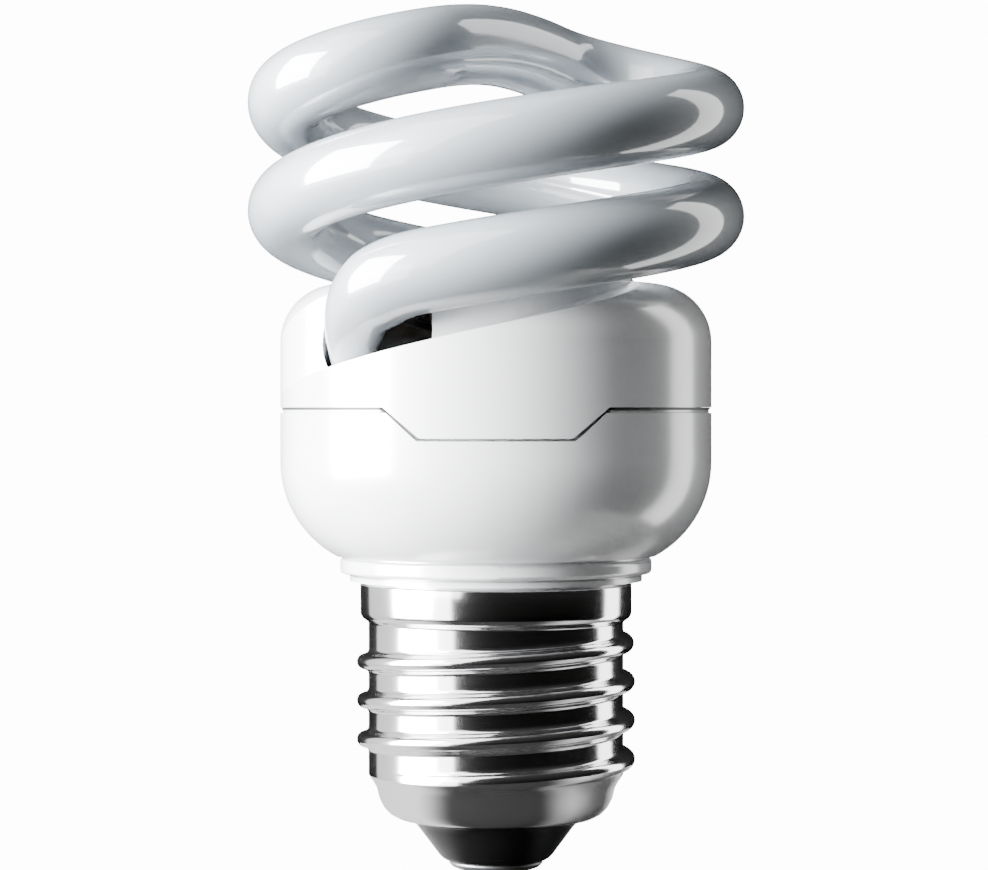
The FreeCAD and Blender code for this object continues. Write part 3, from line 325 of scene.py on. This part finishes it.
@dataclass
class DischargeTube:
    """The blown glass tube: two strands of a coil, joined over the top, with necked ends.

    Lengths are in millimetres and angles in radians.
    """

    radius: float = 3.75
    coil: float = 19.5
    pitch: float = 20.2
    side_height: float = 71.5
    bend: float = 8.0
    leave_angle: float = math.radians(188)
    rise: float = 5.7
    end_angle: float = math.radians(251 - 360)
    tip: tuple[float, float, float] = (-12.9, -8.5, 46.5)
    neck_reach: float = 7.4
    neck_drop: float = 4.4
    neck_slant: float = 0.5
    neck_radius: float = 1.9
    leg: float = 2.9
    taper_start: float = 0.26
    neck_rings: int = 40
    coil_rings: int = 150
    crown_rings: int = 80
    sides: int = 48

    def climb(self) -> float:
        """How steeply the coil climbs.

        Returns:
            The rise for each millimetre along the coil's circle.
        """
        return self.pitch / (2 * math.pi * self.coil)

    def coil_point(self, angle: float) -> Vector:
        """The coil's centreline.

        Args:
            angle: The angle about the lamp's axis, in radians.

        Returns:
            The centreline's point.
        """
        height = self.side_height + self.pitch * (angle - math.pi) / (2 * math.pi)
        return Vector((self.coil * math.cos(angle), self.coil * math.sin(angle), height))

    def crown_point(self, share: float) -> Vector:
        """The bend from the coil in to the axis.

        Args:
            share: 0 at the side lobe, 1 on the axis.

        Returns:
            The centreline's point.
        """
        offset = self.coil - self.bend
        turn = math.pi - math.acos(self.bend / offset)
        on_coil = self.coil * (self.leave_angle - math.pi)
        on_bend = self.bend * turn
        run = math.sqrt(offset ** 2 - self.bend ** 2)
        total = on_coil + on_bend + run
        travel = share * total
        centre = Vector((math.cos(self.leave_angle), math.sin(self.leave_angle), 0.0)) * offset
        if travel <= on_coil:
            angle = math.pi + travel / self.coil
            flat = Vector((math.cos(angle), math.sin(angle), 0.0)) * self.coil
        else:
            angle = self.leave_angle + min((travel - on_coil) / self.bend, turn)
            flat = centre + Vector((math.cos(angle), math.sin(angle), 0.0)) * self.bend
            if travel > on_coil + on_bend:
                flat = flat * ((total - travel) / run)
        slope = total * self.climb() * share * (1 - share) ** 2
        return Vector((flat.x, flat.y, self.side_height + self.rise * eased(share) + slope))

    def neck_point(self, share: float) -> tuple[Vector, float]:
        """The necked end, from the coil (0) to the tip (1).

        Args:
            share: The place along the neck.

        Returns:
            The centreline's point and the tube's radius there.
        """
        start = self.coil_point(self.end_angle)
        along = Vector((math.sin(self.end_angle), -math.cos(self.end_angle), -self.climb())).normalized()
        down = Vector((0.0, self.neck_slant, -1.0)).normalized()
        tip = Vector(self.tip)
        handles = (start, start + along * self.neck_reach, tip - down * self.neck_drop, tip)
        rest = 1 - share
        weights = (rest ** 3, 3 * rest * rest * share, 3 * rest * share * share, share ** 3)
        point = sum((handle * weight for handle, weight in zip(handles, weights)), Vector((0.0, 0.0, 0.0)))
        taper = max(share - self.taper_start, 0.0) / (1 - self.taper_start)
        return point, self.radius + (self.neck_radius - self.radius) * taper

    def half_path(self) -> list[tuple[Vector, float]]:
        """The centreline from one end up to the top of the crown.

        Returns:
            The points, with the tube's radius at each.
        """
        down = Vector((0.0, self.neck_slant, -1.0)).normalized()
        path = [(Vector(self.tip) + down * self.leg, self.neck_radius),
                (Vector(self.tip) + down * self.leg / 2, self.neck_radius)]
        path += [self.neck_point(1 - step / self.neck_rings) for step in range(self.neck_rings)]
        span = math.pi - self.end_angle
        angles = [self.end_angle + span * step / self.coil_rings for step in range(self.coil_rings)]
        path += [(self.coil_point(angle), self.radius) for angle in angles]
        shares = [step / self.crown_rings for step in range(self.crown_rings + 1)]
        path += [(self.crown_point(share), self.radius) for share in shares]
        return path

    def build(self) -> bpy.types.Object:
        """Draws a ring along the centreline from end to end.

        Returns:
            The tube.
        """
        half = self.half_path()
        other = [(Vector((-point.x, -point.y, point.z)), radius) for point, radius in reversed(half[:-1])]
        path = half + other
        mesh = bmesh.new()
        bmesh.ops.create_circle(mesh, cap_ends=False, radius=1.0, segments=self.sides)
        edges = list(mesh.edges)
        ring = list(mesh.verts)
        placed = Matrix.Identity(4)
        for index, (point, radius) in enumerate(path):
            before = path[max(index - 1, 0)][0]
            after = path[min(index + 1, len(path) - 1)][0]
            forward = (after - before).normalized()
            upward = (UP - forward * UP.dot(forward)).normalized()
            turn = Matrix((forward.cross(upward), upward, forward)).transposed().to_4x4()
            size = Matrix.Diagonal((radius * MM, radius * MM, radius * MM, 1))
            wanted = Matrix.Translation(point * MM) @ turn @ size
            if index:
                drawn = bmesh.ops.extrude_edge_only(mesh, edges=edges)["geom"]
                ring = [item for item in drawn if isinstance(item, bmesh.types.BMVert)]
                edges = [item for item in drawn if isinstance(item, bmesh.types.BMEdge)]
            bmesh.ops.transform(mesh, matrix=wanted @ placed.inverted(), verts=ring)
            placed = wanted
        open_edges = [edge for edge in mesh.edges if edge.is_boundary]
        bmesh.ops.holes_fill(mesh, edges=open_edges, sides=self.sides)
        bmesh.ops.recalc_face_normals(mesh, faces=mesh.faces)
        tube = finished(mesh, "glass_coil")
        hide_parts("discharge_tube")
        return tube


@dataclass
class ScrewCap:
    """The nickel shell with its rolled thread, the black insulator and the centre contact.

    Lengths are in millimetres, and the outlines are (radius, height) points.
    """

    crest: float = 13.05
    root: float = 11.95
    pitch: float = 3.629
    turns: float = 3.9
    start: float = 8.6
    half_width: float = 1.22
    crest_round: float = 0.72
    wall: float = 0.3
    run_out: float = 0.5
    root_low: float = 9.0
    root_length: float = 14.2
    root_rows: int = 150
    rolled_low: float = 8.0
    rolled_high: float = 23.9
    plug_edge: float = 0.12
    plug_edge_steps: int = 3
    steps: int = 192
    plug_steps: int = 128
    disc_steps: int = 96
    mouth: Outline = field(default_factory=lambda: [
        (8.6, 4.9), (8.66, 4.9), (9.35, 5.0), (10.0, 5.35), (10.55, 5.95), (10.95, 6.75), (11.2, 7.75),
        (11.5, 8.3), (11.85, 8.8)])
    skirt: Outline = field(default_factory=lambda: [
        (12.15, 23.38), (12.5, 23.62), (12.68, 23.9), (12.72, 24.2), (12.72, 25.5), (12.72, 26.7),
        (12.7, 26.78)])
    plug: Outline = field(default_factory=lambda: [
        (1.2, 0.95), (4.3, 0.9), (4.75, 0.98), (5.05, 1.15), (5.35, 1.45), (7.3, 4.05), (7.75, 4.55),
        (8.1, 4.78), (8.5, 4.82), (8.5, 5.6), (10.4, 6.9), (10.7, 7.75), (10.7, 8.2), (1.2, 8.2)])
    disc: Outline = field(default_factory=lambda: [
        (0.0, 0.0), (2.6, 0.0), (3.6, 0.12), (4.1, 0.32), (4.38, 0.6), (4.4, 0.9), (1.0, 0.9),
        (1.0, 2.5), (0.0, 2.5)])

    def profile(self) -> Outline:
        """The shell's outside from the mouth up to the skirt's rim, in small steps up the thread.

        Returns:
            The outline, with the thread's rows at its root.
        """
        rows = [self.root_low + self.root_length * row / self.root_rows for row in range(self.root_rows + 1)]
        return self.mouth + [(self.root, height) for height in rows] + self.skirt

    def ridge(self, height: float, angle: float) -> float:
        """How far the rolled ridge stands out, from 0 at the root to 1 on the crest.

        Args:
            height: The height in millimetres.
            angle: The angle about the axis, from the left side, in turns.

        Returns:
            The share of the ridge's full height.
        """
        climbed = (height - self.start) / self.pitch
        lap = round(climbed - angle)
        travelled = lap + angle
        apart = climbed - travelled
        to_end = min(travelled / self.run_out, (self.turns - travelled) / self.run_out)
        return self.rounded(abs(apart) * self.pitch) * eased(min(max(to_end, 0.0), 1.0))

    def rounded(self, away: float) -> float:
        """The ridge's section: a round crest that runs into the root over a hollow fillet.

        Args:
            away: The height above or below the ridge's middle, in millimetres.

        Returns:
            The share of the ridge's full height.
        """
        rise = self.crest - self.root
        slope = 2 * math.atan(rise / self.half_width)
        both = self.half_width / math.sin(slope)
        fillet = both - self.crest_round
        if away <= self.crest_round * math.sin(slope):
            return (rise - self.crest_round + math.sqrt(self.crest_round ** 2 - away ** 2)) / rise
        if away < self.half_width:
            return (fillet - math.sqrt(fillet ** 2 - (self.half_width - away) ** 2)) / rise
        return 0.0

    def build_shell(self) -> bpy.types.Object:
        """Spins the sheet, rolls the thread into it and gives it its thickness.

        Returns:
            The shell.
        """
        mesh = bmesh.new()
        points = [mesh.verts.new((radius * MM, 0.0, height * MM)) for radius, height in self.profile()]
        edges = [mesh.edges.new(pair) for pair in zip(points, points[1:])]
        bmesh.ops.spin(mesh, geom=points + edges, cent=(0, 0, 0), axis=(0, 0, 1), angle=2 * math.pi,
                       steps=self.steps, use_merge=True, use_duplicate=False)
        bmesh.ops.remove_doubles(mesh, verts=mesh.verts, dist=WELD)
        for vert in mesh.verts:
            height = vert.co.z / MM
            if self.rolled_low < height < self.rolled_high:
                angle = (math.atan2(vert.co.y, vert.co.x) / (2 * math.pi) - 0.5) % 1.0
                radius = math.hypot(vert.co.x, vert.co.y) / MM
                grown = radius + (self.crest - self.root) * self.ridge(height, angle)
                grown = min(grown, max(self.crest, radius))
                vert.co.x *= grown / radius
                vert.co.y *= grown / radius
        bmesh.ops.recalc_face_normals(mesh, faces=mesh.faces)
        shell = finished(mesh, "threaded_shell")
        thick = shell.modifiers.new("sheet", "SOLIDIFY")
        thick.thickness = self.wall * MM
        thick.offset = -1.0
        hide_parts("screw_shell")
        return shell

    def build_insulator(self) -> bpy.types.Object:
        """Turns the pressed black glass plug with rounded edges.

        Returns:
            The insulator.
        """
        plug = finished(turned(self.plug, self.plug_steps), "insulator_plug")
        edges = plug.modifiers.new("edges", "BEVEL")
        edges.width = self.plug_edge * MM
        edges.segments = self.plug_edge_steps
        edges.limit_method = "ANGLE"
        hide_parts("cap_insulator")
        return plug

    def build_contact(self) -> bpy.types.Object:
        """Turns the riveted contact disc.

        Returns:
            The contact.
        """
        disc = finished(turned(self.disc, self.disc_steps), "contact_disc")
        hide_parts("centre_contact")
        return disc


@dataclass(frozen=True)
class RingSize:
    """A ring's square section, in millimetres: its two radii, its underside's height and its top's."""

    inner: float
    outer: float
    low: float
    high: float

    def corners(self) -> Outline:
        """The section's outline.

        Returns:
            Its corners as (radius, height) points.
        """
        return [(self.inner, self.low), (self.outer, self.low),
                (self.outer, self.high), (self.inner, self.high)]


@dataclass
class Seam:
    """The thin rings inside the seam: a lining behind the tabs, and a lip under a dark ring of painted
    shadow beside them, which stands for the groove's shadow line.

    Lengths are in millimetres.
    """

    lining: RingSize = RingSize(18.88, 18.97, 39.95, 42.78)
    lip: RingSize = RingSize(19.1, 19.95, 42.81, 43.08)
    # painted shadow: the section of a thin dark ring that stands for the groove's shadow line
    painted_shadow: RingSize = RingSize(19.1, 20.05, 43.08, 43.29)
    tab_reach: float = 10.15
    edge: float = 0.02
    edge_steps: int = 2
    steps: int = 96

    def arc(self, size: RingSize, side: float) -> bmesh.types.BMesh:
        """Turns an arc that runs from tab to tab on the left or the right.

        Args:
            size: The arc's section.
            side: -1 for the left, 1 for the right.

        Returns:
            The closed mesh.
        """
        tab = math.asin(self.tab_reach / self.lip.outer)
        turn = Matrix.Rotation(tab - math.pi / 2 + (math.pi if side < 0 else 0.0), 3, "Z")
        mesh = bmesh.new()
        points = [mesh.verts.new(turn @ Vector((radius * MM, 0.0, height * MM)))
                  for radius, height in size.corners()]
        section = mesh.faces.new(points)
        bmesh.ops.spin(mesh, geom=[section], cent=(0, 0, 0), axis=(0, 0, 1), angle=math.pi - 2 * tab,
                       steps=self.steps, use_merge=False, use_duplicate=False)
        bmesh.ops.recalc_face_normals(mesh, faces=mesh.faces)
        return mesh

    def dressed(self, mesh: bmesh.types.BMesh, name: str, slot: str, palette: Palette) -> bpy.types.Object:
        """Turns the mesh into a piece with rounded edges and its finish.

        Args:
            mesh: The edited mesh.
            name: The piece's name.
            slot: The record's material slot.
            palette: All finishes.

        Returns:
            The piece.
        """
        thing = finished(mesh, name)
        edges = thing.modifiers.new("edges", "BEVEL")
        edges.width = self.edge * MM
        edges.segments = self.edge_steps
        edges.limit_method = "ANGLE"
        palette.dress(thing, slot)
        return thing

    def build(self, palette: Palette) -> None:
        """Makes the lining behind the tabs, and the lips and the dark rings of painted shadow beside them.

        Args:
            palette: All finishes.
        """
        self.dressed(turned(self.lining.corners(), self.steps), "seam_lining", "white_plastic", palette)
        for word, side in (("right", 1.0), ("left", -1.0)):
            self.dressed(self.arc(self.lip, side), f"seam_lip_{word}", "white_plastic", palette)
            # painted shadow: a dark ring in black epoxy stands for the shadow line in the groove
            self.dressed(self.arc(self.painted_shadow, side), f"seam_painted_shadow_{word}", "black_epoxy", palette)


@dataclass(frozen=True)
class Softbox:
    """One soft light that faces the lamp.

    Angles are in degrees, the turn to the left of the camera. Lengths are in metres.
    """

    name: str
    turn: float
    lift: float
    reach: float
    width: float
    height: float
    watts: float

    def build(self, aim: Vector) -> None:
        """Hangs the light up around the point that it faces.

        Args:
            aim: The point.
        """
        data = bpy.data.lights.new(self.name, "AREA")
        data.shape = "RECTANGLE"
        data.size, data.size_y = self.width, self.height
        data.energy = self.watts
        turn, tilt = math.radians(self.turn), math.radians(self.lift)
        flat = self.reach * math.cos(tilt)
        place = Vector((-flat * math.sin(turn), -flat * math.cos(turn), aim.z + self.reach * math.sin(tilt)))
        light = bpy.data.objects.new(self.name, data)
        light.location = place
        light.rotation_euler = (aim - place).to_track_quat("-Z", "Y").to_euler()
        bpy.context.scene.collection.objects.link(light)


SOFTBOXES: tuple[Softbox, ...] = (
    Softbox("left_front_softbox", 50.0, 38.0, 0.62, 0.54, 0.90, 7.2),
    Softbox("left_key_softbox", 75.0, 14.0, 0.58, 0.42, 0.54, 66.0),
    Softbox("left_low_softbox", 68.0, 0.0, 0.62, 0.72, 0.44, 7.5),
    Softbox("left_side_softbox", 117.0, 4.0, 0.62, 0.40, 0.80, 1.2),
    Softbox("right_back_strip", -115.5, 0.0, 0.62, 0.24, 1.40, 5.2),
    Softbox("top_softbox", 100.0, 78.0, 0.7, 0.50, 0.50, 0.7),
)


@dataclass
class Studio:
    """The pale floor, the soft lights and the camera at the photograph's place.

    The camera's place is in millimetres and its frame in pixels. Its clipping, the height that the lights
    face and the floor's radius are in metres.
    """

    distance: float = 285.0
    eye: float = 43.15
    scale: float = 10.65
    across: float = 988.0
    down: float = 870.0
    axis_column: float = 496.0
    eye_row: float = 409.0
    sensor: float = 36.0
    nearest: float = 0.01
    farthest: float = 20.0
    aim_height: float = 0.045
    floor_radius: float = 0.055
    floor_sides: int = 96
    floor_roughness: float = 0.9
    # painted shade on the floor: where it runs in front of the lamp, and its darkest and lightest colour
    floor_fade: tuple[float, float] = (-0.85, -0.35)
    floor_shade: tuple[float, float] = (0.01, 0.22)
    room_heights: tuple[float, float] = (-0.2, 1.0)
    room_light: tuple[float, float] = (0.0, 0.05)
    white: float = 14.0

    def build_camera(self) -> None:
        """Sets a level camera in front of the lamp."""
        data = bpy.data.cameras.new("front_camera")
        data.sensor_width = self.sensor
        data.lens = self.sensor * self.scale * self.distance / self.across
        data.shift_x = (self.across / 2 - self.axis_column) / self.across
        data.shift_y = -(self.down / 2 - self.eye_row) / self.across
        data.clip_start = self.nearest
        data.clip_end = self.farthest
        camera = bpy.data.objects.new("front_camera", data)
        camera.location = (0.0, -self.distance * MM, self.eye * MM)
        camera.rotation_euler = (math.radians(90), 0.0, 0.0)
        bpy.context.scene.collection.objects.link(camera)
        bpy.context.scene.camera = camera

    def build_lights(self) -> None:
        """Sets tall softboxes on the left, a strip on the right and a dim one overhead."""
        for softbox in SOFTBOXES:
            softbox.build(Vector((0.0, 0.0, self.aim_height)))

    def seen_white(self, nodes: bpy.types.Nodes, links: bpy.types.NodeLinks, surface: bpy.types.NodeSocket,
                   result: bpy.types.NodeSocket, world: bool) -> None:
        """Makes the camera see plain white where other rays see the given surface.

        Args:
            nodes: The tree's nodes.
            links: The tree's links.
            surface: The shader that lights and reflections see.
            result: The output's socket.
            world: True in the world's tree.
        """
        white = nodes.new("ShaderNodeBackground" if world else "ShaderNodeEmission")
        white.inputs["Color"].default_value = (1.0, 1.0, 1.0, 1.0)
        white.inputs["Strength"].default_value = self.white
        rays = nodes.new("ShaderNodeLightPath")
        choose = nodes.new("ShaderNodeMixShader")
        links.new(rays.outputs["Is Camera Ray"], choose.inputs[0])
        links.new(surface, choose.inputs[1])
        links.new(white.outputs[0], choose.inputs[2])
        links.new(choose.outputs[0], result)

    def build_floor(self) -> None:
        """Lays the round pale floor under the lamp, with painted shade that reflections see darker in front
        of the lamp.
        """
        mesh = bmesh.new()
        bmesh.ops.create_circle(mesh, cap_ends=True, radius=self.floor_radius, segments=self.floor_sides)
        data = bpy.data.meshes.new("pale_floor")
        mesh.to_mesh(data)
        mesh.free()
        floor = bpy.data.objects.new("pale_floor", data)
        bpy.context.scene.collection.objects.link(floor)
        paper = bpy.data.materials.new("pale_paper")
        paper.use_nodes = True
        nodes = paper.node_tree.nodes
        links = paper.node_tree.links
        shader = nodes["Principled BSDF"]
        shader.inputs["Roughness"].default_value = self.floor_roughness
        shader.inputs["Specular IOR Level"].default_value = 0.0
        place = nodes.new("ShaderNodeTexCoord")
        outward = nodes.new("ShaderNodeVectorMath")
        outward.operation = "NORMALIZE"
        split = nodes.new("ShaderNodeSeparateXYZ")
        # painted shade: the floor's colour darkens towards the front of the lamp, where reflections see it
        painted_shade = nodes.new("ShaderNodeMapRange")
        painted_shade.interpolation_type = "SMOOTHSTEP"
        painted_shade.inputs["From Min"].default_value, painted_shade.inputs["From Max"].default_value = self.floor_fade
        painted_shade.inputs["To Min"].default_value, painted_shade.inputs["To Max"].default_value = self.floor_shade
        links.new(place.outputs["Object"], outward.inputs[0])
        links.new(outward.outputs["Vector"], split.inputs["Vector"])
        links.new(split.outputs["Y"], painted_shade.inputs["Value"])
        links.new(painted_shade.outputs["Result"], shader.inputs["Base Color"])
        self.seen_white(nodes, links, shader.outputs[0], nodes["Material Output"].inputs["Surface"], False)
        floor.data.materials.append(paper)

    def build_world(self) -> None:
        """Fills the room with dim light, a little brighter overhead."""
        world = bpy.data.worlds.new("studio_room")
        bpy.context.scene.world = world
        world.use_nodes = True
        nodes = world.node_tree.nodes
        links = world.node_tree.links
        background = nodes["Background"]
        background.inputs["Strength"].default_value = 1.0
        direction = nodes.new("ShaderNodeTexCoord")
        split = nodes.new("ShaderNodeSeparateXYZ")
        links.new(direction.outputs["Generated"], split.inputs["Vector"])
        depth = nodes.new("ShaderNodeMapRange")
        depth.inputs["From Min"].default_value, depth.inputs["From Max"].default_value = self.room_heights
        depth.inputs["To Min"].default_value, depth.inputs["To Max"].default_value = self.room_light
        links.new(split.outputs["Z"], depth.inputs["Value"])
        links.new(depth.outputs["Result"], background.inputs["Color"])
        self.seen_white(nodes, links, background.outputs[0], nodes["World Output"].inputs["Surface"], True)


def main() -> None:
    """Builds the lamp's pieces, dresses them and sets up the studio."""
    logging.basicConfig(level=logging.INFO, format="%(name)s: %(message)s")
    palette = Palette()
    palette.dress_nodes()
    palette.dress(DischargeTube().build(), "coated_glass")
    cap = ScrewCap()
    palette.dress(cap.build_shell(), "nickel_plate")
    palette.dress(cap.build_insulator(), "black_insulator")
    palette.dress(cap.build_contact(), "contact_metal")
    Seam().build(palette)
    studio = Studio()
    studio.build_camera()
    studio.build_lights()
    studio.build_floor()
    studio.build_world()


if __name__ == "__main__":
    main()
